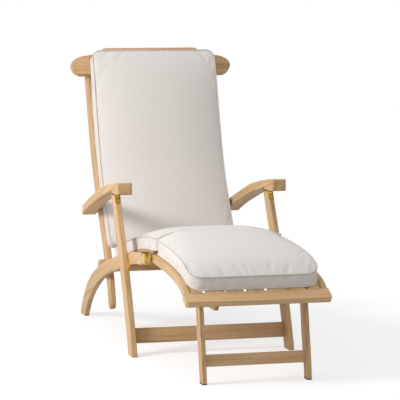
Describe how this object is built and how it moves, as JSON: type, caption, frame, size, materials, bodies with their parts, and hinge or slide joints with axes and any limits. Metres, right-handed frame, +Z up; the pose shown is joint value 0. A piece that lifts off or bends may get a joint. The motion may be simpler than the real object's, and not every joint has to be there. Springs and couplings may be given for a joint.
{
  "type": "steamer deck chair",
  "caption": "Teak steamer deck chair with a reclining back, linked arms and front legs, a hinged leg rest on folding legs and a piped cushion in three sections.",
  "frame": {"origin": "centre of the bounding box, on the floor that the legs stand on", "axes": "+X to the right of someone who looks at the chair's front, +Y towards the back rest, +Z up; the sitter faces -Y"},
  "size_m": [0.614, 1.5526, 1.0103],
  "materials": {
    "teak": "oiled, satin",
    "brass": "satin",
    "cushion": "matt woven canvas",
    "soles": "matt"
  },
  "bodies": {
    "side_frame": {"left_side_rail": "teak", "right_side_rail": "teak", "front_cross_rail": "teak", "rear_cross_rail": "teak", "seat_front_batten": "teak", "seat_slat_1": "teak", "seat_slat_2": "teak", "seat_slat_3": "teak", "seat_slat_4": "teak", "seat_slat_5": "teak", "seat_slat_6": "teak", "seat_slat_7": "teak", "left_rest_bracket": "brass", "right_rest_bracket": "brass", "rest_pins": "brass", "seat_cushion": "cushion"},
    "back": {"left_stile": "teak", "right_stile": "teak", "crest_rail": "teak", "back_slat_1": "teak", "back_slat_2": "teak", "back_slat_3": "teak", "back_slat_4": "teak", "back_slat_5": "teak", "back_slat_6": "teak", "back_slat_7": "teak", "back_lower_rail": "teak", "back_middle_rail": "teak", "adjuster_bar": "teak", "back_cushion": "cushion"},
    "front_legs": {"left_front_leg": "teak", "right_front_leg": "teak", "front_stretcher": "teak", "leg_plates": "brass", "leg_pivot_bolts": "brass", "hinge_leg_leaves": "brass", "hinge_pins": "brass"},
    "armrests": {"left_armrest": "teak", "right_armrest": "teak", "hinge_arm_leaves": "brass", "arm_bolts": "brass"},
    "leg_rest": {"left_rest_rail": "teak", "right_rest_rail": "teak", "rest_front_board": "teak", "rest_cross_rail": "teak", "rest_slat_1": "teak", "rest_slat_2": "teak", "rest_slat_3": "teak", "rest_slat_4": "teak", "rest_slat_5": "teak", "rest_slat_6": "teak", "rest_slat_7": "teak", "rest_cleats": "teak", "rest_leg_bolts": "brass", "rest_cushion": "cushion"},
    "rest_legs": {"left_rest_leg": "teak", "right_rest_leg": "teak", "rest_stretcher": "teak", "rest_leg_soles": "soles"}
  },
  "joints": [
    {"name": "back_recline", "type": "hinge", "parent": "side_frame", "child": "back", "pos_m": [0, 0.4087, 0.235], "axis": [-1, 0, 0], "range_deg": [0, 50]},
    {"name": "front_legs_swing", "type": "hinge", "parent": "side_frame", "child": "front_legs", "pos_m": [0, -0.0593, 0.308], "axis": [-1, 0, 0], "range_deg": [0, 41.95]},
    {"name": "armrest_tilt", "type": "hinge", "parent": "front_legs", "child": "armrests", "pos_m": [0, 0.0347, 0.525], "axis": [1, 0, 0], "range_deg": [0, 39.45]},
    {"name": "leg_rest_drop", "type": "hinge", "parent": "side_frame", "child": "leg_rest", "pos_m": [0, -0.2923, 0.342], "axis": [1, 0, 0], "range_deg": [0, 34]},
    {"name": "rest_legs_fold", "type": "hinge", "parent": "leg_rest", "child": "rest_legs", "pos_m": [0, -0.6593, 0.288], "axis": [1, 0, 0], "range_deg": [0, 100]}
  ],
  "couplings": [
    {"joint": "front_legs_swing", "follows": "back_recline", "ratio": 0.835},
    {"joint": "armrest_tilt", "follows": "back_recline", "ratio": 0.785}
  ]
}
